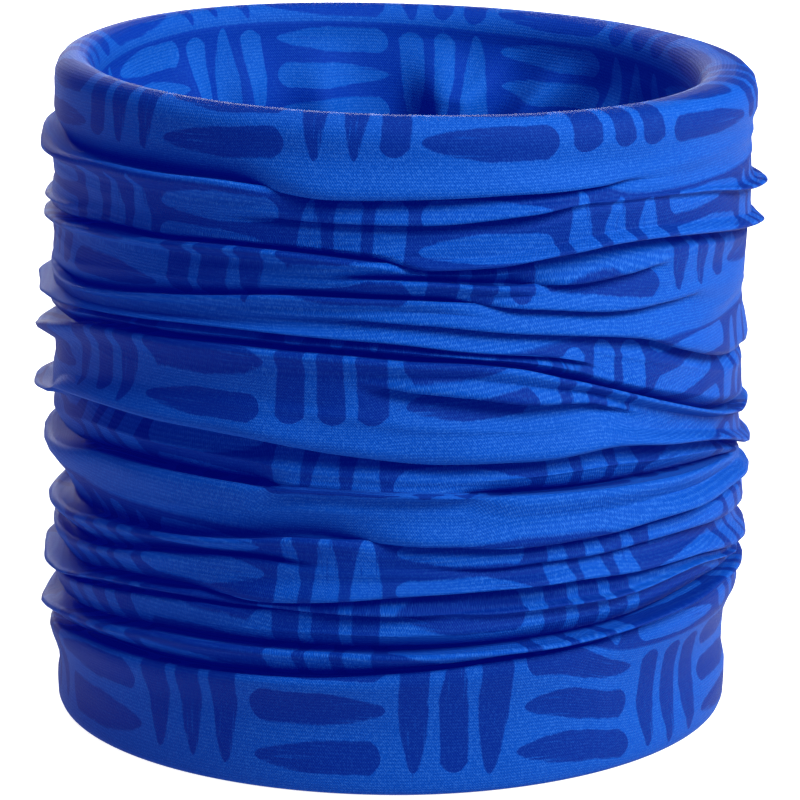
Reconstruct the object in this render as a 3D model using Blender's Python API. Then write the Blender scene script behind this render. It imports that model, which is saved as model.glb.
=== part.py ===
"""A neck gaiter: one tube of knit cloth, pushed down into gathers on its own shape.

The tube stands on its lower edge. Its upper end is turned in over a soft rolled rim
and hangs inside. The cloth is divided where its gathers move apart when the collar is
pulled up: a lower band, a stack of gathered folds and an upper collar with its rim.

Front is -Y, up is +Z, and the origin is the centre of the lower edge.
"""

import math

import bmesh
import bpy
from mathutils import Vector

# Driving dimensions, in metres.
HEIGHT = 0.1490            # lower edge to the crest of the rolled rim
BAND_RADIUS = 0.0788       # outside of the smooth bands
BACKING_RADIUS = 0.0771    # inside of every gathered fold
CLOTH = 0.0013             # thickness given to a single layer
FOLD_BULGE = 0.0012        # how far a fold's belly stands out past the bands
FOLD_TUCK = 0.0006         # how far a fold's upper edge is drawn in
LIP_DROP = 0.0022          # height of the rounded lip along a fold's lower edge
GAP = 0.0003               # clearance between neighbouring pieces

ROLL_RADIUS = 0.0058       # half the width of the rolled rim
ROLL_SWELL = 0.0008        # how much fuller the roll is on the +X side
TURNED_IN_BOTTOM = 0.0100  # lowest point of the layer that hangs inside
LOWER_TURN_HEIGHT = 0.0150  # how far the lower edge is turned up inside
FOOT_INSET = 0.0006        # the lower edge is drawn in a little where it rests

SIDES = 36                 # steps round the tube
ARC_STEPS = 6              # steps over the rolled rim

# Each fold line's height in metres on the -X side, the front, the +X side and the back,
# from the top of the lower band up to the bottom of the collar.
FOLD_LINES = (
    (0.0180, 0.0280, 0.0360, 0.0270),
    (0.0350, 0.0450, 0.0450, 0.0420),
    (0.0480, 0.0570, 0.0545, 0.0540),
    (0.0620, 0.0670, 0.0610, 0.0650),
    (0.0750, 0.0760, 0.0670, 0.0750),
    (0.0880, 0.0900, 0.0730, 0.0860),
    (0.0980, 0.1010, 0.0790, 0.0970),
    (0.1150, 0.1180, 0.0960, 0.1110),
    (0.1340, 0.1300, 0.1130, 0.1260),
)


def clear_scene():
    """Remove every object, so that only this model is left."""
    for thing in list(bpy.data.objects):
        bpy.data.objects.remove(thing, do_unlink=True)


def cloth_material(name, colour):
    """Soft microfibre knit: matt, with no metal in it."""
    material = bpy.data.materials.new(name)
    material.use_nodes = True
    shader = material.node_tree.nodes["Principled BSDF"]
    shader.inputs["Base Color"].default_value = (*colour, 1.0)
    shader.inputs["Roughness"].default_value = 0.85
    shader.inputs["Metallic"].default_value = 0.0
    material.diffuse_color = (*colour, 1.0)
    return material


def line_height(line, angle):
    """Height of a fold line at an angle from the front, round towards +X."""
    left, front, right, back = line
    mean = (left + front + right + back) / 4
    lobes = (front + back - left - right) / 4
    towards_front = (front - back) / 2
    towards_right = (right - left) / 2
    return (
        mean
        + towards_front * math.cos(angle)
        + towards_right * math.sin(angle)
        + lobes * math.cos(2 * angle)
    )


def turned_piece(name, section, material):
    """Sweep a closed section round the tube's axis.

    section(angle) lists (radius, height) points, anticlockwise seen with the axis on
    the left, and may change with the angle as long as its number of points doesn't.
    """
    mesh = bpy.data.meshes.new(name)
    shape = bmesh.new()
    loops = []
    for step in range(SIDES):
        angle = 2 * math.pi * step / SIDES
        outward = Vector((math.sin(angle), -math.cos(angle), 0.0))
        loops.append([
            shape.verts.new(outward * radius + Vector((0.0, 0.0, height)))
            for radius, height in section(angle)
        ])
    for step, loop in enumerate(loops):
        following = loops[(step + 1) % SIDES]
        for index in range(len(loop)):
            above = (index + 1) % len(loop)
            shape.faces.new((loop[index], following[index], following[above], loop[above]))
    bmesh.ops.recalc_face_normals(shape, faces=shape.faces)
    shape.to_mesh(mesh)
    shape.free()
    mesh.shade_smooth()
    mesh.set_sharp_from_angle(angle=math.radians(40))
    piece = bpy.data.objects.new(name, mesh)
    piece.data.materials.append(material)
    bpy.context.scene.collection.objects.link(piece)
    return piece


def lower_band_section(angle):
    """The smooth band at the bottom, flat underneath where it rests."""
    top = line_height(FOLD_LINES[0], angle) - GAP / 2
    inside = BACKING_RADIUS
    return [
        (inside, 0.0),
        (BAND_RADIUS - FOOT_INSET, 0.0),
        (BAND_RADIUS, 0.0020),
        (BAND_RADIUS, top - 0.0040),
        (BAND_RADIUS - FOLD_TUCK, top),
        (inside, top),
    ]


def lower_turn_in_section(_angle):
    """The lower edge's own turned-up layer, just inside the band."""
    outside = BACKING_RADIUS - GAP
    return [
        (outside - CLOTH, GAP),
        (outside, GAP),
        (outside, LOWER_TURN_HEIGHT),
        (outside - CLOTH, LOWER_TURN_HEIGHT),
    ]


def gather_section(lower_line, upper_line):
    """A fold: a rounded lip below, a full belly and a top drawn in under the next."""
    def section(angle):
        bottom = line_height(lower_line, angle) + GAP / 2
        top = line_height(upper_line, angle) - GAP / 2
        belly = BAND_RADIUS + FOLD_BULGE
        lip = min(LIP_DROP, (top - bottom) / 3)
        return [
            (BACKING_RADIUS, bottom),
            (belly - FOLD_BULGE / 2, bottom),
            (belly, bottom + lip),
            (BAND_RADIUS, (bottom + lip + top) / 2),
            (BAND_RADIUS - FOLD_TUCK, top),
            (BACKING_RADIUS, top),
        ]
    return section


def roll_radius(angle):
    """Half the rim's width, fuller on the +X side."""
    return ROLL_RADIUS + ROLL_SWELL * math.sin(angle)


def collar_section(angle):
    """The smooth band above the folds, up to where the rim starts to roll over."""
    bottom = line_height(FOLD_LINES[-1], angle) + GAP / 2
    top = HEIGHT - roll_radius(angle) - GAP
    return [
        (BACKING_RADIUS, bottom),
        (BAND_RADIUS, bottom),
        (BAND_RADIUS, top),
        (BACKING_RADIUS, top),
    ]


def rim_section(angle):
    """The rolled rim: the upper end's cloth rounded over, as one soft half-round."""
    roll = roll_radius(angle)
    centre = BAND_RADIUS - roll
    spring = HEIGHT - roll
    return [
        (centre + roll * math.cos(turn), spring + roll * math.sin(turn))
        for turn in (math.pi * step / ARC_STEPS for step in range(ARC_STEPS + 1))
    ]


def turned_in_section(angle):
    """The upper end of the tube, hanging inside from the rolled rim."""
    roll = roll_radius(angle)
    inside = BAND_RADIUS - 2 * roll
    top = HEIGHT - roll - GAP
    return [
        (inside, TURNED_IN_BOTTOM),
        (inside + CLOTH, TURNED_IN_BOTTOM),
        (inside + CLOTH, top),
        (inside, top),
    ]


def main():
    clear_scene()
    outside_blue = cloth_material("outside_blue", (0.005, 0.058, 0.47))
    gather_blue = cloth_material("gather_blue", (0.005, 0.045, 0.39))
    inside_blue = cloth_material("inside_blue", (0.004, 0.040, 0.42))

    turned_piece("lower_band", lower_band_section, outside_blue)
    turned_piece("lower_turn_in", lower_turn_in_section, inside_blue)
    for number in range(len(FOLD_LINES) - 1):
        section = gather_section(FOLD_LINES[number], FOLD_LINES[number + 1])
        turned_piece(f"gather_{number + 1}", section, gather_blue)
    turned_piece("upper_collar", collar_section, outside_blue)
    turned_piece("rolled_rim", rim_section, outside_blue)
    turned_piece("turned_in_layer", turned_in_section, inside_blue)


main()
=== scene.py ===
"""Looks for the neck gaiter: one knit tube, pushed down into gathers, with its top turned in.

The cloth is two grids, each with columns round the tube and rows along it. One is the skin
outside, from the inner side of the rolled rim down through every fold and round the lower
edge, where each column is a smooth curve through a chain of control points. The other is
the layer that hangs inside. Both carry flat-cloth coordinates, which the printed pattern
and the knit are drawn in.

Front is -Y, up is +Z, and an angle is measured from the front round towards +X. Lengths are
in millimetres until the meshes are made.
"""

import math
from collections import namedtuple

import bpy
import numpy as np
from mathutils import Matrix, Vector


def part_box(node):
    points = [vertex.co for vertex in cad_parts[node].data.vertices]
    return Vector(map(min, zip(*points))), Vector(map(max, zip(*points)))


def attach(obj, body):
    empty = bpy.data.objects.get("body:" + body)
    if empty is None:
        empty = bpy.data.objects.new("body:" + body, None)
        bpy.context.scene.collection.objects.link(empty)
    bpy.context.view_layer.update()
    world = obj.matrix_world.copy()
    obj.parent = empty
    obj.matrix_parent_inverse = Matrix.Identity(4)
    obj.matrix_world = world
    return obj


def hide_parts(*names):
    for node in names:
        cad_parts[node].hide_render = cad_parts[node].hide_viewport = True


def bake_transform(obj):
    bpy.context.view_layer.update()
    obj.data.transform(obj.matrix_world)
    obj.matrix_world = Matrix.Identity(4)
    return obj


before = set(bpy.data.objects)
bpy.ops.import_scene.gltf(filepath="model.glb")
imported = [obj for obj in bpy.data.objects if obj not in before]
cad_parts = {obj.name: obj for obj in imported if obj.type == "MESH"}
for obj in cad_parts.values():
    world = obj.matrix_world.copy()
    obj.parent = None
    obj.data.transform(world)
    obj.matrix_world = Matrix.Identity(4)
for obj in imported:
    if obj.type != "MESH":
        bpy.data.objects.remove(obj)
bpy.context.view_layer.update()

MM = 0.001

# The frame's own sizes, in millimetres.
HEIGHT = float(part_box("rolled_rim")[1][2]) / MM
BAND_RADIUS = float(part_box("lower_band")[1][0]) / MM
INNER_BOTTOM = float(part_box("turned_in_layer")[0][2]) / MM
LOWER_TURN_TOP = float(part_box("lower_turn_in")[1][2]) / MM

# The cloth, laid flat.
CELLS_ROUND = 16         # groups of printed strokes round the tube
ROW_PITCH = 27.5         # height of one row of the print
WALES_ROUND = 880        # pairs of knit ribs round the tube
COURSE_PITCH = 0.62      # height of a pair of courses
PRINT_TURN = -16.4       # angle from the front to the edge of a group of strokes, in degrees
# Print row, and how far round it has slid in degrees.
PRINT_TWIST = (
    (-3.0, 4.3), (0.5, 4.3), (1.2, 2.6), (1.5, 1.8), (2.5, 3.1), (3.5, 4.0), (5.5, 5.9),
    (6.5, 6.5), (8.5, 6.6), (11.5, 8.6),
)
PRINT_STRETCH = 2.0      # how far the print is drawn to the two sides, in degrees
LIGHT_SHARE = 0.62       # share of a pair of rows that the light one takes
STROKES_SHARE = 0.76     # share of a light row, from its top, that its strokes take
UPRIGHT_SHARE = 0.44     # share of a pair of groups that the one with upright strokes takes
TOP_ROW = 6.83           # print row at height 0, if the smooth top band ran on down to it
INSIDE_PITCH = 34.0      # height of one row on the layer inside, which hangs drawn out
BACK_SHIFT = 0.34        # how many rows further the inside has slid at the back than at the front
BACK_SHIFT_RUN = 0.35    # rows over which that slide comes in

# The grid.
COLUMNS = 336
OUTER_ROWS = 296
INNER_ROWS = 150
EDGE_COLUMN = 0.5        # columns start half a step round, so that none is at a side exactly
SIDE_FOCUS = 1.4         # how closely a side's own shape keeps to that side

angles = (np.arange(COLUMNS) + EDGE_COLUMN) * 360.0 / COLUMNS - 180.0
turn = np.radians(angles)
right_share = np.clip(np.sin(turn), 0, 1) ** SIDE_FOCUS
left_share = np.clip(-np.sin(turn), 0, 1) ** SIDE_FOCUS


# ---------------------------------------------------------------- curves and noise

def round_curve(stations, column):
    """A smooth closed curve through stations of (angle, ...), read at every column."""
    at = np.array([s[0] for s in stations], float)
    value = np.array([s[column] for s in stations], float)
    at = np.concatenate([at - 360, at, at + 360])
    value = np.tile(value, 3)
    rise = np.diff(value) / np.diff(at)
    slope = np.zeros_like(value)
    same = rise[:-1] * rise[1:] > 0
    total = np.where(same, rise[:-1] + rise[1:], 1.0)
    slope[1:-1] = np.where(same, 2 * rise[:-1] * rise[1:] / total, 0.0)
    left = np.searchsorted(at, angles, side="right") - 1
    width = at[left + 1] - at[left]
    t = (angles - at[left]) / width
    return (
        value[left] * (1 + 2 * t) * (1 - t) ** 2
        + slope[left] * width * t * (1 - t) ** 2
        + value[left + 1] * t * t * (3 - 2 * t)
        + slope[left + 1] * width * t * t * (t - 1)
    )


def smooth(low, high, value):
    """0 below low and 1 above high, with no corner between. Runs downwards if low > high."""
    t = np.clip((value - low) / (high - low), 0, 1)
    return t * t * (3 - 2 * t)


def round_noise(seed, waves):
    """Noise in -1..1 once round the tube, with so many waves."""
    values = np.random.RandomState(seed).uniform(-1, 1, waves)
    place = (angles / 360.0 + 0.5) * waves
    low = np.floor(place).astype(int)
    t = place - low
    t = t * t * (3 - 2 * t)
    return values[low % waves] * (1 - t) + values[(low + 1) % waves] * t


def sheet_noise(seed, across, along, waves, spacing):
    """Noise in -1..1 over (turns round the tube, millimetres along it)."""
    steps = 64
    values = np.random.RandomState(seed).uniform(-1, 1, (waves, steps))
    a = across * waves
    b = along / spacing
    a0 = np.floor(a).astype(int)
    b0 = np.floor(b).astype(int)
    ta, tb = a - a0, b - b0
    ta = ta * ta * (3 - 2 * ta)
    tb = tb * tb * (3 - 2 * tb)
    low = values[a0 % waves, b0 % steps] * (1 - ta) + values[(a0 + 1) % waves, b0 % steps] * ta
    high = (
        values[a0 % waves, (b0 + 1) % steps] * (1 - ta)
        + values[(a0 + 1) % waves, (b0 + 1) % steps] * ta
    )
    return low * (1 - tb) + high * tb


def curve_through(controls, count):
    """A uniform cubic B-spline along axis 0 of controls, read at evenly spaced places."""
    ends = np.concatenate([controls[:1], controls, controls[-1:]])
    place = np.linspace(0, len(controls) - 1 - 1e-6, count)
    low = np.floor(place).astype(int)
    t = (place - low).reshape(-1, *([1] * (controls.ndim - 1)))
    return (
        ends[low] * (1 - t) ** 3
        + ends[low + 1] * (3 * t ** 3 - 6 * t ** 2 + 4)
        + ends[low + 2] * (-3 * t ** 3 + 3 * t ** 2 + 3 * t + 1)
        + ends[np.minimum(low + 3, len(ends) - 1)] * t ** 3
    ) / 6


# ---------------------------------------------------------------- the tube's own shape

# Radius of the wall at the two sides, as (height, radius).
LEFT_WALL = (
    (0, 79.8), (3, 80.6), (8, 79.7), (17, 79.6), (25, 80.0), (37, 79.4), (46, 78.8), (51, 77.4),
    (57, 77.4), (62, 78.8), (80, 79.2), (94, 79.0), (109, 79.0), (123, 78.2), (137, 78.9),
    (142, 77.9), (149, 77.6),
)
RIGHT_WALL = (
    (0, 75.4), (3, 76.5), (8, 75.3), (13, 73.8), (22, 74.2), (27, 77.0), (32, 77.6), (46, 77.3),
    (52, 78.5), (70, 78.2), (80, 77.2), (95, 77.9), (104, 78.4), (118, 79.0), (133, 79.7),
    (147, 80.8),
)
MIDDLE_WALL = BAND_RADIUS - 0.3


def wall_radius(height):
    """The wall's radius at a height, for every column."""
    left = np.interp(height, *zip(*LEFT_WALL))
    right = np.interp(height, *zip(*RIGHT_WALL))
    return MIDDLE_WALL + (left - MIDDLE_WALL) * left_share + (right - MIDDLE_WALL) * right_share


# Half the rolled rim's width and height, as (angle, size).
ROLL_WIDTHS = (
    (-90, 4.6), (-50, 4.2), (0, 5.2), (45, 6.2), (90, 7.0), (140, 6.0), (180, 4.6), (225, 4.4),
)
ROLL_HEIGHTS = (
    (-90, 5.5), (-50, 4.5), (0, 5.0), (45, 6.0), (90, 8.0), (140, 6.0), (180, 4.5), (225, 4.8),
)
CREST_TILT = 2.0         # how much higher the rim stands on the left, and lower on the right
RIM_PROUD = 0.2          # how far the rim stands out past the wall
RIM_WAVER = 0.25
ROLL_STEPS = 8
ROLL_TAIL = (3.0, 2.0, 1.0)    # how far below the roll the skin begins, inside
ROLL_SQUARENESS = 0.3    # how much squarer the roll is on the right
SPLINE_GAIN = 1.04       # a spline cuts its corners, so the roll's points stand this much out

# The folds from the top down. Each has the print rows that it hides, the fold that hides
# them where this one fades (counted from this one, 0 for none), and its stations round the
# tube: angle in degrees, height, lip and kind.
#   u: the lower cloth's rounded lip stands up in front of the upper cloth
#   d: the upper cloth hangs over the lower cloth
#   r: a thin pleat is pinched and stands out
FOLDS = (
    (0.07, 0, (
        (-90, 134.4, 1.6, "u"), (-72, 132.8, 1.9, "u"), (-50, 134.2, 1.6, "u"), (-30, 134.4, 1.5, "u"),
        (-10, 132.0, 1.2, "d"), (20, 132.6, 1.0, "d"), (38, 133.0, 0.3, "d"), (60, 133.0, 0.0, "d"),
        (90, 131.0, 0.0, "d"), (135, 129.0, 1.2, "d"), (180, 131.0, 1.5, "u"), (225, 134.0, 1.6, "u"))),
    (0.0, 0, (
        (-90, 126.5, 0.0, "d"), (-40, 127.0, 0.0, "d"), (-14, 127.2, 0.4, "d"), (5, 126.9, 1.2, "d"),
        (20, 128.3, 1.2, "d"), (34, 129.2, 0.3, "r"), (55, 127.0, 0.8, "r"), (75, 123.0, 1.8, "r"),
        (90, 121.6, 2.6, "r"), (120, 120.5, 1.8, "r"), (150, 122.0, 0.4, "r"), (180, 124.0, 0.0, "d"),
        (225, 125.0, 0.0, "d"))),
    (0.0, 0, (
        (-90, 118.2, 1.2, "r"), (-70, 120.4, 0.5, "r"), (-45, 123.0, 0.0, "d"), (-10, 122.5, 0.0, "d"),
        (10, 121.0, 0.0, "d"), (35, 124.0, 0.0, "d"), (60, 121.5, 0.0, "d"), (90, 116.5, 0.0, "d"),
        (135, 118.5, 0.0, "d"), (180, 119.0, 0.3, "r"), (225, 118.5, 0.6, "r"))),
    (0.79, 0, (
        (-90, 114.4, 1.9, "u"), (-70, 116.8, 1.8, "u"), (-50, 119.4, 1.6, "u"), (-25, 120.2, 1.5, "u"),
        (-5, 118.7, 1.3, "u"), (5, 117.4, 1.2, "d"), (14, 117.6, 1.4, "d"), (24, 119.0, 1.7, "d"),
        (35, 120.4, 1.8, "d"), (50, 119.2, 1.8, "d"), (65, 116.6, 1.9, "d"), (80, 113.7, 2.2, "d"),
        (92, 112.4, 2.1, "d"), (135, 112.0, 1.6, "d"), (180, 114.5, 1.4, "u"), (225, 113.5, 1.5, "u"))),
    (0.0, 0, (
        (-90, 110.0, 0.0, "u"), (-40, 115.5, 0.0, "u"), (-12, 114.8, 0.2, "u"), (4, 114.4, 1.0, "u"),
        (16, 112.9, 1.2, "u"), (28, 112.4, 1.0, "d"), (40, 112.9, 0.6, "d"), (52, 112.6, 0.0, "d"),
        (70, 109.0, 0.0, "d"), (90, 106.5, 0.0, "d"), (135, 107.0, 0.4, "d"), (180, 110.5, 0.2, "u"),
        (225, 109.0, 0.0, "u"))),
    (0.0, 0, (
        (-90, 103.6, 0.2, "u"), (-70, 103.4, 0.6, "u"), (-55, 105.2, 0.8, "u"), (-40, 107.7, 0.8, "u"),
        (-15, 111.0, 0.8, "u"), (5, 110.2, 0.6, "u"), (20, 108.0, 0.6, "d"), (35, 105.2, 0.8, "d"),
        (48, 104.3, 0.4, "d"), (70, 102.5, 0.0, "d"), (90, 101.0, 0.0, "d"), (135, 103.5, 0.6, "d"),
        (180, 106.0, 1.1, "d"), (225, 107.0, 0.6, "u"))),
    (0.0, 0, (
        (-90, 100.6, 0.0, "d"), (-40, 104.4, 0.0, "d"), (-12, 106.0, 0.2, "d"), (5, 105.0, 0.6, "d"),
        (20, 102.4, 0.5, "d"), (29, 100.9, 0.9, "d"), (42, 97.3, 1.2, "d"), (52, 92.4, 1.2, "d"),
        (65, 87.6, 1.0, "d"), (78, 86.0, 0.7, "d"), (90, 85.0, 1.2, "d"), (135, 92.0, 1.2, "d"),
        (180, 99.5, 0.3, "d"), (225, 102.0, 0.0, "d"))),
    (0.74, 1, (
        (-90, 99.4, 3.0, "d"), (-78, 99.9, 2.4, "d"), (-66, 101.2, 1.9, "d"), (-50, 102.0, 1.5, "d"),
        (-25, 102.6, 1.3, "d"), (-5, 101.6, 1.2, "d"), (12, 99.0, 1.0, "d"), (24, 96.8, 0.6, "d"),
        (38, 90.5, 0.0, "d"), (52, 85.5, 0.0, "d"), (70, 79.5, 0.0, "d"), (90, 76.0, 0.0, "d"),
        (135, 84.0, 1.2, "d"), (180, 92.5, 1.8, "d"), (225, 95.5, 2.0, "d"))),
    (0.36, 0, (
        (-90, 88.0, 3.0, "u"), (-76, 91.6, 1.9, "u"), (-55, 97.0, 1.4, "u"), (-40, 98.6, 1.3, "u"),
        (-15, 98.8, 1.3, "u"), (5, 97.1, 1.3, "u"), (18, 94.6, 1.2, "u"), (27, 91.0, 1.2, "u"),
        (38, 86.4, 1.5, "u"), (50, 80.9, 1.7, "u"), (65, 74.8, 1.7, "u"), (80, 70.9, 1.6, "u"),
        (92, 69.4, 1.8, "u"), (135, 76.0, 1.3, "u"), (180, 86.0, 1.2, "u"), (225, 88.5, 2.2, "u"))),
    (0.0, 0, (
        (-90, 81.5, 0.0, "d"), (-50, 89.0, 0.0, "d"), (-12, 91.8, 0.0, "d"), (0, 91.3, 0.5, "d"),
        (10, 89.8, 1.1, "d"), (20, 87.4, 1.2, "d"), (30, 86.0, 0.9, "d"), (42, 80.2, 0.1, "d"),
        (65, 71.9, 0.0, "d"), (90, 66.8, 0.0, "d"), (135, 71.5, 0.7, "d"), (180, 79.5, 1.0, "d"),
        (225, 82.5, 0.2, "d"))),
    (0.23, 0, (
        (-90, 74.2, 4.2, "r"), (-78, 75.8, 2.6, "r"), (-66, 79.6, 1.6, "d"), (-50, 81.0, 1.7, "d"),
        (-25, 79.9, 1.7, "d"), (-8, 77.0, 1.5, "d"), (6, 74.9, 1.3, "d"), (20, 74.6, 1.4, "d"),
        (34, 75.8, 1.6, "d"), (50, 72.4, 1.8, "d"), (65, 68.7, 1.8, "d"), (80, 62.6, 1.9, "d"),
        (92, 59.6, 2.1, "d"), (135, 66.0, 1.4, "d"), (180, 72.0, 1.3, "r"), (225, 74.5, 2.6, "r"))),
    (1.17, -1, (
        (-90, 63.2, 2.5, "u"), (-72, 65.2, 1.9, "u"), (-55, 68.3, 1.6, "u"), (-40, 69.0, 1.5, "u"),
        (-26, 68.6, 1.2, "u"), (-16, 68.6, 1.0, "r"), (5, 68.1, 0.9, "r"), (20, 66.9, 1.0, "u"),
        (36, 65.8, 1.1, "u"), (52, 64.9, 1.0, "u"), (64, 63.4, 0.8, "u"), (78, 60.8, 0.1, "u"),
        (90, 58.2, 0.0, "u"), (112, 58.0, 0.2, "u"), (135, 60.5, 1.0, "u"), (180, 63.5, 1.3, "u"),
        (225, 64.5, 1.9, "u"))),
    (0.02, 0, (
        (-90, 49.0, 1.5, "u"), (-70, 50.7, 1.6, "u"), (-55, 52.6, 1.5, "u"), (-30, 55.2, 1.4, "u"),
        (-14, 57.6, 1.1, "u"), (5, 57.0, 1.2, "d"), (20, 55.5, 1.4, "d"), (35, 56.2, 1.7, "d"),
        (50, 57.4, 1.9, "d"), (65, 57.5, 2.0, "d"), (80, 56.1, 1.8, "d"), (92, 54.6, 1.7, "d"),
        (135, 51.5, 1.4, "d"), (180, 52.0, 1.2, "u"), (225, 50.5, 1.4, "u"))),
    (0.0, 0, (
        (-90, 43.4, 1.2, "u"), (-70, 44.5, 1.3, "u"), (-55, 46.7, 1.3, "u"), (-40, 49.8, 1.2, "u"),
        (-24, 52.0, 0.6, "u"), (-8, 51.5, 0.1, "u"), (20, 51.0, 0.4, "d"), (50, 51.8, 0.6, "d"),
        (75, 49.0, 0.9, "d"), (92, 46.5, 0.8, "d"), (135, 46.0, 0.5, "d"), (180, 46.5, 0.8, "u"),
        (225, 45.0, 1.0, "u"))),
    (0.61, 0, (
        (-90, 36.4, 2.2, "u"), (-70, 37.2, 1.7, "u"), (-55, 40.4, 1.6, "u"), (-40, 42.2, 1.4, "u"),
        (-20, 43.0, 1.3, "d"), (5, 46.0, 1.4, "d"), (20, 46.5, 1.5, "d"), (40, 46.0, 1.6, "d"),
        (55, 45.0, 1.7, "d"), (72, 42.0, 1.7, "d"), (90, 39.4, 1.8, "d"), (135, 41.5, 1.2, "d"),
        (180, 40.5, 1.2, "u"), (225, 38.0, 1.5, "u"))),
    (0.0, 0, (
        (-90, 33.0, 0.5, "u"), (-70, 34.5, 0.7, "u"), (-55, 37.6, 0.7, "u"), (-30, 40.6, 0.6, "u"),
        (-5, 41.4, 0.5, "d"), (15, 41.4, 0.9, "r"), (35, 41.2, 1.2, "r"), (55, 42.4, 1.2, "r"),
        (72, 39.4, 1.0, "r"), (90, 37.2, 0.8, "d"), (135, 37.5, 0.6, "d"), (180, 36.5, 0.5, "u"),
        (225, 34.5, 0.5, "u"))),
    (0.84, 0, (
        (-90, 24.4, 1.8, "u"), (-70, 27.2, 1.6, "u"), (-55, 29.6, 1.5, "u"), (-40, 31.3, 1.4, "u"),
        (-15, 32.3, 1.3, "u"), (10, 32.9, 1.3, "u"), (35, 33.5, 1.5, "u"), (50, 34.6, 1.6, "u"),
        (65, 35.8, 1.6, "u"), (80, 34.8, 1.4, "u"), (92, 33.4, 1.2, "u"), (135, 33.0, 1.3, "u"),
        (180, 29.5, 1.3, "u"), (225, 26.5, 1.6, "u"))),
    (0.27, -1, (
        (-90, 19.0, 0.8, "u"), (-70, 22.4, 1.3, "u"), (-55, 24.5, 1.3, "u"), (-40, 25.2, 1.2, "u"),
        (-15, 26.8, 1.1, "u"), (5, 28.5, 1.0, "u"), (20, 30.2, 0.7, "u"), (35, 31.2, 0.3, "u"),
        (60, 32.0, 0.1, "u"), (90, 31.0, 0.3, "u"), (135, 29.0, 0.7, "u"), (180, 25.0, 0.9, "u"),
        (225, 21.5, 1.0, "u"))),
)
KINDS = "udr"
LEAST_SPACING = 1.9      # between two folds
LEAST_FIN = 2.2          # how far a fold's hidden cloth goes inwards
DEEPEST_FIN = 7.0
LINE_WAVER = 0.30        # how far a fold's line strays
LIP_WAVER = 0.22         # what share of a lip comes and goes
FACING_LIP = 0.6         # how much fuller a lip is where it is seen face on
BEHIND = 104.0           # the angle just behind each side where lips are low,
BEHIND_SPREAD = 8.0      # over so many degrees,
BEHIND_CUT = 0.7         # and by this share
FADED, FORMED = 0.05, 0.9    # a fold is gone below the first lip and whole above the second
FOOT_LINE = 2.0          # height that the lowest fold's room ends at

# A fold's section, going down, as (offset up, share of the fin inwards, share of the lip
# outwards, distance outwards).
LIP_UP = (
    (6.4, 0.0, 0.0, -0.1), (3.6, 0.0, -0.30, -0.6), (1.5, 0.0, -0.55, -1.3), (-0.1, 0.5, -0.3, -1.4),
    (-0.7, 1.0, 0.0, -1.0), (-1.3, 0.5, 0.0, -0.9), (-0.6, 0.0, 0.10, -0.6), (0.60, 0.0, 0.40, -0.1),
    (0.60, 0.0, 1.05, 0.1), (-1.1, 0.0, 1.35, 0.1), (-3.2, 0.0, 1.00, 0.1), (-6.4, 0.0, 0.2, 0.0),
)
LIP_DOWN = tuple((-up, fin, lip, out) for up, fin, lip, out in reversed(LIP_UP))
PLEAT = (
    (4.2, 0.0, 0.0, 0.0), (2.6, 0.0, 0.05, -0.1), (1.5, 0.0, 0.22, 0.0), (1.05, 0.0, 0.62, 0.0),
    (0.95, 0.0, 0.98, 0.1), (0.45, 0.0, 1.18, 0.1), (-0.25, 0.0, 1.18, 0.1), (-0.75, 0.0, 0.98, 0.1),
    (-0.9, 0.0, 0.55, 0.0), (-1.1, 0.0, 0.05, -0.4), (-2.2, 0.0, -0.05, -0.5), (-4.4, 0.0, 0.0, 0.0),
)
# Where a fold has faded out, its points run straight down the wall instead.
NO_FOLD = np.linspace(5.0, -5.0, len(PLEAT))
SECTIONS = np.array([LIP_UP, LIP_DOWN, PLEAT])
SECTION_REACH = 6.5      # a section's own half height, which is squeezed to fit between folds,
ROOM_SHARE = 0.47        # into this share of the room on each side
FIRST_HIDDEN, LAST_HIDDEN = 3, 5    # the points of a section between which rows are swallowed

# Between two folds that lie far apart, the cloth puffs out a little.
PUFF_FROM = 5.0
PUFF_RATE = 0.13
PUFF_MOST = 1.2
PUFF_AT_SIDES = 0.3

# The lower edge, as (distance inwards, height): the rounded edge and the turn inside it.
BAND_FOOT = 3.5
FOOT = (
    (0.0, BAND_FOOT), (0.0, 1.8), (0.25, 0.6), (0.9, -0.1), (1.7, 0.3), (2.4, 1.5), (2.5, 5.0),
    (2.6, 9.0), (2.6, LOWER_TURN_TOP - 1.0),
)

Fold = namedtuple("Fold", "line lip shares present hidden")


def kind_shares(stations):
    """How much of each kind a fold is, at every column."""
    columns = []
    for kind in KINDS:
        shares = [(s[0], 1.0 if s[3] == kind else 0.0) for s in stations]
        columns.append(round_curve(shares, 1))
    return np.array(columns)


def gather_folds(spring):
    """Every fold's line, lip, kind shares, presence and hidden print rows, at every column."""
    facing = 1 + FACING_LIP * np.abs(np.cos(turn)) ** 0.7
    behind = np.exp(-((np.abs(angles) - BEHIND) / BEHIND_SPREAD) ** 2)
    found = []
    above = spring - 1.0
    for number, (rows, _heir, stations) in enumerate(FOLDS):
        line = round_curve(stations, 1) + LINE_WAVER * round_noise(20 + number, 26)
        line = np.minimum(line, above - LEAST_SPACING)
        lip = round_curve(stations, 2) * (1 + LIP_WAVER * round_noise(60 + number, 34))
        lip = np.clip(lip, 0, None) * facing
        present = smooth(FADED, FORMED, lip)
        lip = lip * (1 - BEHIND_CUT * behind)
        found.append(Fold(line, lip, kind_shares(stations), present, rows * present))
        above = line
    # What a fold no longer hides where it has faded, its heir hides there.
    for number, (rows, heir, _stations) in enumerate(FOLDS):
        if heir:
            taker = found[number + heir]
            taken = taker.hidden + rows * (1 - found[number].present)
            found[number + heir] = taker._replace(hidden=taken)
    return found


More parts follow.
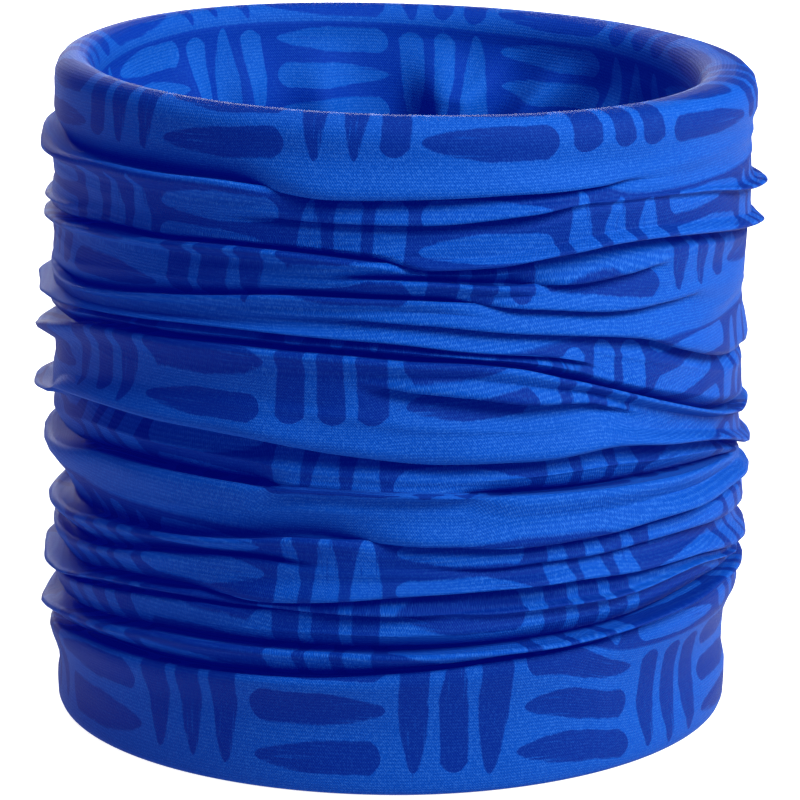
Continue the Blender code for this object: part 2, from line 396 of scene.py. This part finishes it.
class Chain:
    """Control points down every column, and the print row at the points where it is known."""

    def __init__(self):
        self.radius = []
        self.height = []
        self.known = []

    def add(self, radius, height):
        self.radius.append(np.broadcast_to(radius, turn.shape).astype(float))
        self.height.append(np.broadcast_to(height, turn.shape).astype(float))

    def pin_row(self, base):
        """Ties the point added last to its print row. base is the row at height 0."""
        self.known.append((len(self.radius) - 1, base - self.height[-1] / ROW_PITCH))

    def rows(self):
        """The print row of every point: between pinned points it follows the cloth's length."""
        radius, height = np.array(self.radius), np.array(self.height)
        step = np.hypot(np.diff(radius, axis=0), np.diff(height, axis=0))
        length = np.concatenate([np.zeros((1, COLUMNS)), np.cumsum(step, axis=0)])
        first, first_row = self.known[0]
        last, last_row = self.known[-1]
        row = np.empty_like(length)
        turned_in = BACK_SHIFT * (1 - np.cos(turn)) / 2
        above = (length[first] - length[:first + 1]) / INSIDE_PITCH
        row[:first + 1] = first_row - above - turned_in * smooth(0.0, BACK_SHIFT_RUN, above)
        row[last:] = last_row + (length[last:] - length[last]) / ROW_PITCH
        for (begin, begin_row), (end, end_row) in zip(self.known[:-1], self.known[1:]):
            share = (length[begin:end + 1] - length[begin]) / (length[end] - length[begin])
            row[begin:end + 1] = begin_row + (end_row - begin_row) * share
        return row

    def points(self):
        """(radius, height, print row) of every point, at every column."""
        return np.stack([np.array(self.radius), np.array(self.height), self.rows()], axis=-1)


def add_rim(chain):
    """The rolled rim, from inside the tube over to the outside. Returns where it ends."""
    crest = HEIGHT - CREST_TILT * np.sin(turn) + RIM_WAVER * round_noise(5, 9)
    wide = round_curve(ROLL_WIDTHS, 1) + RIM_WAVER * round_noise(6, 11)
    tall = round_curve(ROLL_HEIGHTS, 1)
    centre = wall_radius(HEIGHT) + RIM_PROUD - wide
    spring = crest - tall
    for drop in ROLL_TAIL:
        chain.add(centre - wide, spring - drop)
    square = 1 - ROLL_SQUARENESS * right_share
    for step in range(ROLL_STEPS + 1):
        over = math.pi * (1 - step / ROLL_STEPS)
        out = np.sign(math.cos(over)) * abs(math.cos(over)) ** square
        up = max(math.sin(over), 0.0) ** square
        chain.add(centre + wide * SPLINE_GAIN * out, spring + tall * SPLINE_GAIN * up)
    return spring


def add_panel(chain, first, puff):
    """The wall between the point added last and a fold's first point."""
    last = chain.height[-1]
    for share in (0.33, 0.67):
        z = last + (first - last) * share
        chain.add(wall_radius(z) + puff, z)


def add_fold(chain, fold, upper, lower, puffs, base):
    """One fold and the wall above it. Returns the print row's base below the fold."""
    fin = np.clip(fold.hidden * ROW_PITCH / 2, LEAST_FIN, DEEPEST_FIN) * fold.present
    section = np.tensordot(fold.shares.T, SECTIONS, axes=(1, 0))    # column, point, value
    up_room = np.minimum(1.0, ROOM_SHARE * (upper - fold.line) / SECTION_REACH)
    down_room = np.minimum(1.0, ROOM_SHARE * (fold.line - lower) / SECTION_REACH)
    puff = np.clip(PUFF_RATE * (upper - fold.line - PUFF_FROM), 0, PUFF_MOST)
    puff = puff * (PUFF_AT_SIDES + (1 - PUFF_AT_SIDES) * np.cos(turn) ** 2)
    for point in range(section.shape[1]):
        up, fin_share, lip_share, out = section[:, point].T
        up = up * fold.present + NO_FOLD[point] * (1 - fold.present)
        z = fold.line + np.where(up > 0, up * up_room, up * down_room)
        if point == 0:
            add_panel(chain, z, puff if puffs else 0.0)
        r = wall_radius(z) + lip_share * fold.lip - fin_share * fin + out * fold.present
        chain.add(r, z)
        if point == FIRST_HIDDEN:
            chain.pin_row(base)
        if point == LAST_HIDDEN:
            base = base + fold.hidden
            chain.pin_row(base)
    return base


def add_foot(chain, base):
    """The lower band, its rounded lower edge and the turn inside it."""
    last = chain.height[-1]
    for share in (0.2, 0.4, 0.6, 0.8):
        z = last + (BAND_FOOT - last) * share
        chain.add(wall_radius(z), z)
    foot = wall_radius(0.0)
    for number, (inward, z) in enumerate(FOOT):
        chain.add(foot - inward, z)
        if number == 0:
            chain.pin_row(base)


def build_skin():
    """The outside's control points, from inside the rim to inside the lower edge."""
    chain = Chain()
    spring = add_rim(chain)
    folds = gather_folds(spring)
    base = np.full(COLUMNS, TOP_ROW)
    for number, fold in enumerate(folds):
        upper = spring if number == 0 else folds[number - 1].line
        lower = FOOT_LINE if number == len(folds) - 1 else folds[number + 1].line
        base = add_fold(chain, fold, upper, lower, number > 0, base)
    add_foot(chain, base)
    return chain.points()


# Small drag wrinkles on the wall: how far each kind stands out.
COARSE_WRINKLE = 0.85
FINE_WRINKLE = 0.16
SHARP_WRINKLE = 0.35
FAN_WRINKLE = 0.8
WRINKLE_ORIGIN = 40.0    # keeps the distance along the cloth above zero
# On the right the cloth is drawn together, and wrinkles fan out from there.
DRAWN_ANGLE, DRAWN_ANGLE_SPREAD = 58, 26
DRAWN_HEIGHT, DRAWN_HEIGHT_SPREAD = 80, 17


def wrinkle(grid):
    """Adds the drag wrinkles, long round the tube and short along it."""
    r, z, v = grid[..., 0], grid[..., 1], grid[..., 2]
    share = np.broadcast_to(angles / 360.0, r.shape)
    along = v * ROW_PITCH + WRINKLE_ORIGIN
    coarse = sheet_noise(101, share + 0.0006 * along, along, 14, 7.0)
    fine = sheet_noise(102, share - 0.0004 * along, along, 26, 2.6)
    crease = 1 - np.abs(sheet_noise(103, share + 0.0009 * along, along, 12, 4.6)) * 2
    fan = sheet_noise(104, share, along + 70 * share, 20, 3.4)
    on_wall = smooth(-2.0, -0.4, r - wall_radius(z))
    below_rim = smooth(HEIGHT - 4, HEIGHT - 14, z)
    above_foot = smooth(1.0, 8.0, z)
    drawn = (
        np.exp(-((angles - DRAWN_ANGLE) / DRAWN_ANGLE_SPREAD) ** 2)
        * np.exp(-((z - DRAWN_HEIGHT) / DRAWN_HEIGHT_SPREAD) ** 2)
    )
    r = r + on_wall * below_rim * above_foot * (
        COARSE_WRINKLE * coarse
        + FINE_WRINKLE * fine
        + SHARP_WRINKLE * np.clip(crease, 0, 1)
        + FAN_WRINKLE * drawn * fan
    )
    return np.stack([r, z, v], axis=-1)


outer_grid = wrinkle(curve_through(build_skin(), OUTER_ROWS))


# Where the inner layer bulges inwards: angle and half width in degrees, bulge, and how many
# degrees it leans for each millimetre down.
CRUMPLES = (
    (196, 5.0, 4.0, 0.05), (172, 5.5, 7.0, -0.12), (158, 4.0, 5.0, 0.50), (143, 4.5, 6.5, 0.60),
    (126, 5.5, 6.0, 0.45), (108, 7.0, 4.5, 0.20), (211, 4.0, 3.0, 0.12), (228, 4.5, 3.6, -0.15),
    (249, 5.0, 3.5, -0.10), (275, 8.0, 4.5, 0.15), (302, 7.0, 4.0, -0.15), (330, 8.0, 5.0, 0.10),
    (355, 7.0, 3.5, -0.20), (20, 8.0, 5.0, 0.15), (48, 7.0, 4.0, -0.10), (78, 8.0, 4.5, 0.20),
)
LEAN_DEPTH = 45.0        # below this a crumple runs straight down
CRUMPLE_START = (-1.0, 15.0)     # depths between which crumples grow,
CRUMPLE_FADE = (35.0, 110.0)     # and between which they fade again
CRUMPLE_FADE_SHARE = 0.6
LOOSE_EDGE = 2.0         # the loose edge hangs so far above the frame's own,
LOOSE_EDGE_WAVE = 1.5    # and strays by this
HANGS_IN = 1.2           # how far the layer hangs in from the roll
LEAST_INWARD, MOST_INWARD = -0.4, 10.0
UNDER_ROLL = 0.6         # set in again by this, so that it hangs clear of the roll
TUCKED = 2.6             # on the right it lies back under the roll


def build_inner(first_row):
    """The layer that hangs inside, from the roll's inner side down to its loose edge."""
    r0, z0, v0 = first_row.T
    rows = np.linspace(0, 1, INNER_ROWS).reshape(-1, 1)
    drop = z0 - INNER_BOTTOM - LOOSE_EDGE - LOOSE_EDGE_WAVE * round_noise(7, 7)
    z = z0 - drop * rows
    depth = z0 - z
    across = np.broadcast_to(angles / 360.0, z.shape)
    grow = smooth(-1, 16, depth)
    lean = 0.0011 * depth
    folds = sheet_noise(201, across + lean, depth, 13, 60.0)
    creases = sheet_noise(203, across + 2.5 * lean, depth, 22, 20.0)
    inward = grow * (HANGS_IN + 1.6 * folds + 0.8 * creases)
    swell = smooth(*CRUMPLE_START, depth) * (1 - CRUMPLE_FADE_SHARE * smooth(*CRUMPLE_FADE, depth))
    for angle, wide, bulge, slope in CRUMPLES:
        away = (angles - angle - slope * np.minimum(depth, LEAN_DEPTH) + 180.0) % 360.0 - 180.0
        inward = inward + bulge * swell * np.exp(-(away / wide) ** 2)
    tucked = TUCKED * right_share * smooth(0, 8, depth)
    r = r0 - np.clip(inward, LEAST_INWARD, MOST_INWARD) - UNDER_ROLL * grow + tucked
    z = z + 0.5 * grow * folds
    step = np.hypot(np.diff(r, axis=0), np.diff(z, axis=0))
    length = np.concatenate([np.zeros((1, COLUMNS)), np.cumsum(step, axis=0)])
    v = v0 - length.mean(axis=1, keepdims=True) / INSIDE_PITCH
    return np.stack([r, z, v], axis=-1)


inner_grid = build_inner(outer_grid[0])


# ---------------------------------------------------------------- meshes

def cloth_piece(name, grid, outside_first, material):
    """A grid of (radius, height, print row) made into a mesh with flat-cloth coordinates."""
    rows, columns = grid.shape[:2]
    r = grid[..., 0] * MM
    z = grid[..., 1] * MM
    points = np.stack([r * np.sin(turn), -r * np.cos(turn), z], axis=-1).reshape(-1, 3)
    low = np.arange(rows - 1).reshape(-1, 1) * columns
    here = np.arange(columns)
    after = (here + 1) % columns
    quads = np.stack(
        [low + here, low + after, low + columns + after, low + columns + here], axis=-1
    ).reshape(-1, 4)
    v = grid[..., 2]
    v_after = np.roll(v, -1, axis=1)
    twist = np.interp(v, *zip(*PRINT_TWIST)) + PRINT_STRETCH * np.sin(turn)
    u = (angles + twist - PRINT_TURN + 360.0) * CELLS_ROUND / 360.0
    u_after = np.roll(u, -1, axis=1)
    u_after[:, -1] += CELLS_ROUND
    u = np.stack([u[:-1], u_after[:-1], u_after[1:], u[1:]], axis=-1)
    v = np.stack([v[:-1], v_after[:-1], v_after[1:], v[1:]], axis=-1)
    flat = np.stack([u, v], axis=-1).reshape(-1, 4, 2)
    if outside_first:
        quads = quads[:, ::-1]
        flat = flat[:, ::-1]
    mesh = bpy.data.meshes.new(name)
    mesh.from_pydata(points.tolist(), [], quads.tolist())
    layer = mesh.uv_layers.new(name="flat_cloth")
    layer.data.foreach_set("uv", np.ascontiguousarray(flat, dtype=np.float32).ravel())
    mesh.shade_smooth()
    piece = bpy.data.objects.new(name, mesh)
    piece.data.materials.append(material)
    bpy.context.scene.collection.objects.link(piece)
    return piece


# ---------------------------------------------------------------- the printed knit

class Maths:
    """Adds maths nodes to a material, so that a formula reads as one."""

    def __init__(self, tree):
        self.tree = tree

    def node(self, kind, *values, **settings):
        made = self.tree.nodes.new(kind)
        for key, value in settings.items():
            setattr(made, key, value)
        for socket, value in zip(made.inputs, values):
            if isinstance(value, bpy.types.NodeSocket):
                self.tree.links.new(value, socket)
            else:
                socket.default_value = value
        return made

    def do(self, operation, *values):
        return self.node("ShaderNodeMath", *values, operation=operation).outputs[0]

    def mix(self, share, a, b):
        """a where share is 0, b where it is 1."""
        return self.do("MULTIPLY_ADD", share, self.do("SUBTRACT", b, a), a)

    def mix_colour(self, share, a, b):
        made = self.node("ShaderNodeMix", data_type="RGBA")
        for socket, value in ((made.inputs[0], share), (made.inputs[6], a), (made.inputs[7], b)):
            if isinstance(value, bpy.types.NodeSocket):
                self.tree.links.new(value, socket)
            else:
                socket.default_value = value
        return made.outputs[2]

    def step(self, value, low, high):
        """0 at low and 1 at high, with no corner between."""
        made = self.node(
            "ShaderNodeMapRange", value, low, high, 0.0, 1.0, interpolation_type="SMOOTHSTEP"
        )
        return made.outputs[0]

    def clamp(self, value):
        return self.do("MINIMUM", self.do("MAXIMUM", value, 0.0), 1.0)

    def spread(self, chance, amount):
        """A chance in 0..1 as a value of the amount's size, centred on 0."""
        return self.do("MULTIPLY", self.do("SUBTRACT", chance, 0.5), amount)

    def vector(self, x, y, z=0.0):
        return self.node("ShaderNodeCombineXYZ", x, y, z).outputs[0]

    def noise(self, vector, scale, detail=2.0, roughness=0.5):
        made = self.node("ShaderNodeTexNoise")
        self.tree.links.new(vector, made.inputs["Vector"])
        made.inputs["Scale"].default_value = scale
        made.inputs["Detail"].default_value = detail
        made.inputs["Roughness"].default_value = roughness
        return made.outputs["Fac"]

    def ring(self, u, v):
        """Cloth coordinates wrapped into a tube, so that noise has no seam."""
        bend = self.do("MULTIPLY", u, 2 * math.pi / CELLS_ROUND)
        size = CELLS_ROUND / (2 * math.pi)
        return self.vector(
            self.do("MULTIPLY", self.do("COSINE", bend), size),
            self.do("MULTIPLY", self.do("SINE", bend), size),
            v,
        )

    def random(self, x, y, z):
        made = self.node("ShaderNodeTexWhiteNoise", noise_dimensions="3D")
        self.tree.links.new(self.vector(x, y, z), made.inputs["Vector"])
        return made.outputs["Value"]


GROUP_WOBBLE = 0.10      # how far a group strays round the tube, in groups

# A stroke of the brush, in shares of its own length and of a third of its group's width.
STROKE_LEAN = 0.16
STROKE_BOW = 0.35
HALF_WIDTH, HALF_WIDTH_SPREAD = 0.33, 0.07
TIP, TIP_SPREAD = 0.02, 0.06
TIP_LENGTH, TIP_POWER = 0.42, 0.45
END, END_SPREAD = 0.92, 0.04
END_LENGTH, END_POWER = 0.07, 0.4
RAGGED = 0.10
INK_EDGE = (-0.015, 0.045)       # the ink comes in between these distances inside its outline
DRY_STREAKS = (0.56, 0.66)       # values of the bristles' noise between which a streak comes in
DRY_FROM_TIP = (0.62, 0.12)      # places along the stroke between which it runs dry
DRY_SHARE = 0.55                 # how much ink a dry streak lacks


def print_row(m, v):
    """Which row v is in, and the place in it: 0 to 1 down its strokes, more on a plain strip."""
    # Light rows are the taller ones, with a plain strip below their strokes.
    rows = m.do("SUBTRACT", m.do("MULTIPLY", v, 0.5), (LIGHT_SHARE - 0.5) / 2)
    part = m.do("FRACT", rows)
    light_row = m.do("GREATER_THAN", part, 1 - LIGHT_SHARE)
    line = m.do("MULTIPLY_ADD", m.do("FLOOR", rows), 2.0, light_row)
    in_dark = m.do("DIVIDE", part, 1 - LIGHT_SHARE)
    in_light = m.do("DIVIDE", m.do("SUBTRACT", part, 1 - LIGHT_SHARE), LIGHT_SHARE * STROKES_SHARE)
    return line, m.mix(light_row, in_dark, in_light)


def print_group(m, u, line):
    """Which group of strokes u is in, the place in it, and whether its strokes are upright."""
    # Every second light row is stepped one group along.
    stepped = m.do("COMPARE", m.do("MODULO", m.do("ADD", line, 4.0), 4.0), 3.0, 0.5)
    edge = (0.5 - UPRIGHT_SHARE) / 2
    pair = m.do("SUBTRACT", m.do("MULTIPLY", m.do("ADD", u, stepped), 0.5), edge)
    place = m.do("FRACT", pair)
    upright = m.do("LESS_THAN", place, UPRIGHT_SHARE)
    lying = m.do("SUBTRACT", 1.0, upright)
    column = m.do("FLOORED_MODULO", m.do("FLOOR", pair), CELLS_ROUND / 2)
    column = m.do("MULTIPLY_ADD", column, 2.0, lying)
    in_lying = m.do("DIVIDE", m.do("SUBTRACT", place, UPRIGHT_SHARE), 1 - UPRIGHT_SHARE)
    in_upright = m.do("DIVIDE", place, UPRIGHT_SHARE)
    return column, m.mix(upright, in_lying, in_upright), upright


def stroke_mask(m, u, v):
    """1 on the printed strokes and 0 between them, from cloth coordinates in cells."""
    ring = m.ring(u, v)
    u = m.do("ADD", m.spread(m.noise(ring, 1.3, 1.0), GROUP_WOBBLE), u)
    line, y = print_row(m, v)
    column, x, upright = print_group(m, u, line)
    inside = m.do("LESS_THAN", y, 1.0)
    across = m.mix(upright, y, x)
    along = m.mix(upright, x, y)
    third = m.do("MULTIPLY", across, 3.0)
    number = m.do("FLOOR", third)
    side = m.do("SUBTRACT", m.do("FRACT", third), 0.5)
    chance = m.random(column, line, number)
    chance2 = m.random(column, line, m.do("ADD", number, 7.0))
    chance3 = m.random(m.do("ADD", column, 3.0), line, number)
    flip = m.do("GREATER_THAN", chance2, 0.5)
    along = m.mix(flip, along, m.do("SUBTRACT", 1.0, along))
    # The stroke leans and bows a little.
    middle = m.do("SUBTRACT", along, 0.5)
    side = m.do("MULTIPLY_ADD", middle, m.spread(chance3, STROKE_LEAN), side)
    bowed = m.do("MULTIPLY", middle, middle)
    side = m.do("MULTIPLY_ADD", bowed, m.spread(chance, STROKE_BOW), side)
    # Half its width: nothing at the tip, swelling to full, and blunt at the other end.
    full = m.do("MULTIPLY_ADD", chance, HALF_WIDTH_SPREAD, HALF_WIDTH)
    tip = m.do("MULTIPLY_ADD", chance3, TIP_SPREAD, TIP)
    run = m.clamp(m.do("DIVIDE", m.do("SUBTRACT", along, tip), TIP_LENGTH))
    swell = m.do("POWER", run, TIP_POWER)
    end = m.do("MULTIPLY_ADD", chance2, END_SPREAD, END)
    blunt = m.clamp(m.do("DIVIDE", m.do("SUBTRACT", end, along), END_LENGTH))
    half = m.do("MULTIPLY", m.do("MULTIPLY", full, swell), m.do("POWER", blunt, END_POWER))
    ragged = m.spread(m.noise(ring, 9.0, 3.0, 0.6), RAGGED)
    reach = m.do("ADD", m.do("SUBTRACT", half, m.do("ABSOLUTE", side)), ragged)
    mask = m.do("MULTIPLY", m.step(reach, *INK_EDGE), inside)
    # A dry brush leaves streaks towards the tip.
    grain = m.vector(m.do("MULTIPLY", side, 9.0), m.do("MULTIPLY", along, 1.6), chance)
    streaks = m.step(m.noise(grain, 1.6, 2.0), *DRY_STREAKS)
    dry = m.do("MULTIPLY", streaks, m.step(along, *DRY_FROM_TIP))
    return m.do("MULTIPLY", mask, m.do("SUBTRACT", 1.0, m.do("MULTIPLY", dry, DRY_SHARE)))


# The dyes and tints, as linear colours: the inside's two dyes are lighter copies, painted light on the
# inner layer, and the last blue is a painted glow.
LIGHT = (0.0005, 0.0235, 0.130, 1.0)
DARK = (0.0001, 0.0072, 0.060, 1.0)
STROKE_ON_DARK = (0.0006, 0.0240, 0.135, 1.0)
# Painted light: the inside's dyes are lighter copies of the outside's, standing in for light that the
# shaded inner layer lacks.
DARK_PAINTED_LIGHTER_INSIDE = (0.0001, 0.0110, 0.098, 1.0)
STROKE_PAINTED_LIGHTER_INSIDE = (0.0006, 0.0290, 0.150, 1.0)
PALE = (0.0120, 0.0620, 0.210, 1.0)
# A painted blue glow, given off by the cloth itself though it is no lamp.
PAINTED_BLUE_GLOW = (0.0001, 0.0012, 0.105, 1.0)
GLOSS_TINT = (0.45, 0.72, 1.0, 1.0)
SHEEN_TINT = (0.52, 0.66, 1.0, 1.0)

PALE_THREADS = 0.50      # how strongly the pale threads show,
PALE_RANGE = (0.46, 0.70)    # between these values of the knit's own unevenness,
PALE_ON_DARK = 0.25      # and the share of that on the dark dye
DYE_EDGE = 0.015         # how soft the line between a dark row and a light one is
UNEVEN_INK = 0.34
UNEVEN_FLECKS = 0.60
WEAVE_SHADE = 0.10
THREAD_SHADE = 0.08
INSIDE_PAINTED_LIGHT_ROWS = (1.35, 0.85)   # print rows between which the inside's painted-lighter dyes come in
BUMP_STRENGTH = 0.30
BUMP_DISTANCE = 0.18 * MM


def knit_colour(m, v, lightness, odd, ink, fleck, courses, weave):
    """The dyed colour: uneven ink, the paler threads that show at the top of each rib, and painted
    light on the inside, whose dyes are lighter copies.
    """
    shade = m.do("ADD", lightness, m.spread(ink, UNEVEN_INK))
    shade = m.do("ADD", shade, m.spread(fleck, UNEVEN_FLECKS))
    shade = m.clamp(m.do("MULTIPLY_ADD", weave, WEAVE_SHADE, shade))
    # Painted light: below these rows the layer inside takes the lighter copies of the dyes.
    turned_in = m.step(v, *INSIDE_PAINTED_LIGHT_ROWS)
    dark = m.mix_colour(turned_in, DARK, DARK_PAINTED_LIGHTER_INSIDE)
    on_dark = m.mix_colour(turned_in, STROKE_ON_DARK, STROKE_PAINTED_LIGHTER_INSIDE)
    light = m.mix_colour(odd, on_dark, LIGHT)
    colour = m.mix_colour(shade, dark, light)
    thread = m.do("MULTIPLY_ADD", weave, THREAD_SHADE, fleck)
    thread = m.do("MULTIPLY_ADD", courses, THREAD_SHADE, thread)
    inked = m.do("MULTIPLY_ADD", lightness, 1 - PALE_ON_DARK, PALE_ON_DARK)
    pale = m.do("MULTIPLY", m.do("MULTIPLY", m.step(thread, *PALE_RANGE), PALE_THREADS), inked)
    return m.mix_colour(pale, colour, PALE)


def knit_bump(m, weave, courses, fleck):
    """The relief of the knit: its stitches, its courses and loose fibres."""
    knit = m.do("MULTIPLY_ADD", weave, 0.8, m.do("MULTIPLY", courses, 0.35))
    knit = m.do("ADD", knit, m.do("MULTIPLY", fleck, 1.6))
    bump = m.node("ShaderNodeBump")
    bump.inputs["Strength"].default_value = BUMP_STRENGTH
    bump.inputs["Distance"].default_value = BUMP_DISTANCE
    m.tree.links.new(knit, bump.inputs["Height"])
    return bump.outputs[0]


def knit_material(name):
    """Matt microfibre knit, printed with rows of brush strokes, dark on light or light on dark."""
    material = bpy.data.materials.new(name)
    material.use_nodes = True
    tree = material.node_tree
    shader = tree.nodes["Principled BSDF"]
    m = Maths(tree)
    coordinates = m.node("ShaderNodeUVMap", uv_map="flat_cloth").outputs[0]
    split = m.node("ShaderNodeSeparateXYZ", coordinates)
    u, v = split.outputs[0], split.outputs[1]
    strokes = stroke_mask(m, u, v)

    # Even rows have a dark ground and light strokes, odd rows the other way round.
    from_middle = m.do("PINGPONG", m.do("ADD", v, 0.5), 1.0)
    odd = m.step(from_middle, LIGHT_SHARE + DYE_EDGE, LIGHT_SHARE - DYE_EDGE)
    lightness = m.mix(odd, strokes, m.do("SUBTRACT", 1.0, strokes))

    # Courses run round the tube and wales along it.
    ring = m.ring(u, v)
    ink = m.noise(ring, 3.0, 4.0, 0.6)
    fleck = m.noise(ring, 70.0, 2.0, 0.7)
    courses = m.do("MULTIPLY", m.do("MULTIPLY", v, ROW_PITCH), 2 * math.pi / COURSE_PITCH)
    courses = m.do("SINE", courses)
    wales = m.do("SINE", m.do("MULTIPLY", u, 2 * math.pi * WALES_ROUND / CELLS_ROUND))
    weave = m.do("MULTIPLY", courses, wales)

    colour = knit_colour(m, v, lightness, odd, ink, fleck, courses, weave)
    tree.links.new(colour, shader.inputs["Base Color"])
    tree.links.new(knit_bump(m, weave, courses, fleck), shader.inputs["Normal"])
    rough = m.do("MULTIPLY_ADD", fleck, 0.16, 0.54)
    tree.links.new(rough, shader.inputs["Roughness"])
    # A painted blue glow: the cloth gives off a little blue light of its own, which keeps its deepest
    # creases a saturated blue.
    shader.inputs["Emission Color"].default_value = PAINTED_BLUE_GLOW
    shader.inputs["Emission Strength"].default_value = 1.0
    shader.inputs["Specular IOR Level"].default_value = 0.03
    shader.inputs["Specular Tint"].default_value = GLOSS_TINT
    shader.inputs["Sheen Weight"].default_value = 0.036
    shader.inputs["Sheen Roughness"].default_value = 0.15
    shader.inputs["Sheen Tint"].default_value = SHEEN_TINT
    return material


# The two are made alike: the print row tells the inside's painted-lighter dyes from the outside's.
outside_knit = knit_material("outside_knit")
inside_knit = knit_material("inside_knit")

outer_cloth = cloth_piece("outer_cloth", outer_grid, True, outside_knit)
inner_cloth = cloth_piece("inner_layer_cloth", inner_grid, False, inside_knit)


# ---------------------------------------------------------------- how the cloth moves

gathers = [f"gather_{number}" for number in range(1, 9)]
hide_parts("lower_band", "lower_turn_in", *gathers, "upper_collar", "rolled_rim")
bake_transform(outer_cloth)
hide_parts("turned_in_layer")
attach(inner_cloth, "collar")


# ---------------------------------------------------------------- stage, light and camera

FLOOR_SIZE = 6.0
FLOOR_GREY = (0.40, 0.40, 0.40, 1.0)
FLOOR_GLOW = 2.3
SKY = (0.62, 0.66, 1.0, 1.0)
SKY_STRENGTH = 0.12

# Soft square lamps: name, place and aim in metres, size in metres, and power in watts.
LIGHTS = (
    ("key", (0.67, -0.52, 0.74), (0, 0, 0.08), (0.5, 0.5), 43.0),
    ("top", (-0.20, 0.0, 1.2), (0, 0, 0.1), (0.8, 0.8), 13.0),
    ("back", (-0.20, 1.05, 0.30), (0, 0, 0.08), (0.6, 0.6), 12.0),
    ("side", (0.9, 0.15, 0.30), (0, 0, 0.08), (0.3, 0.6), 6.0),
)

CAMERA_PLACE = (0.0, -0.9639, 0.3161)
CAMERA_DOWN = 14.395     # degrees below the horizon
CAMERA_LENS = 194.5
CAMERA_SENSOR = 36.0


def add_floor():
    """A plain pale floor, lit from within so that it is even right up to its horizon."""
    material = bpy.data.materials.new("pale_floor")
    material.use_nodes = True
    shader = material.node_tree.nodes["Principled BSDF"]
    shader.inputs["Base Color"].default_value = FLOOR_GREY
    shader.inputs["Roughness"].default_value = 0.9
    shader.inputs["Emission Color"].default_value = FLOOR_GREY
    shader.inputs["Emission Strength"].default_value = FLOOR_GLOW
    size = FLOOR_SIZE
    corners = [(-size, -size, 0), (size, -size, 0), (size, size, 0), (-size, size, 0)]
    mesh = bpy.data.meshes.new("floor")
    mesh.from_pydata(corners, [], [(0, 1, 2, 3)])
    mesh.materials.append(material)
    floor = bpy.data.objects.new("floor", mesh)
    bpy.context.scene.collection.objects.link(floor)


def add_light(name, place, aim, size, power):
    data = bpy.data.lights.new(name, "AREA")
    data.shape = "RECTANGLE"
    data.size, data.size_y = size
    data.energy = power
    light = bpy.data.objects.new(name, data)
    light.location = place
    direction = Vector(np.array(aim) - np.array(place))
    light.rotation_euler = direction.to_track_quat("-Z", "Y").to_euler()
    bpy.context.scene.collection.objects.link(light)


def add_world():
    world = bpy.data.worlds.new("studio")
    world.use_nodes = True
    background = world.node_tree.nodes["Background"]
    background.inputs["Color"].default_value = SKY
    background.inputs["Strength"].default_value = SKY_STRENGTH
    bpy.context.scene.world = world


def add_camera():
    data = bpy.data.cameras.new("camera")
    data.sensor_width = CAMERA_SENSOR
    data.lens = CAMERA_LENS
    camera = bpy.data.objects.new("camera", data)
    camera.location = CAMERA_PLACE
    camera.rotation_euler = (math.radians(90 - CAMERA_DOWN), 0.0, 0.0)
    bpy.context.scene.collection.objects.link(camera)
    bpy.context.scene.camera = camera


add_floor()
add_world()
for light_settings in LIGHTS:
    add_light(*light_settings)
add_camera()
bpy.context.scene.view_settings.view_transform = "Standard"
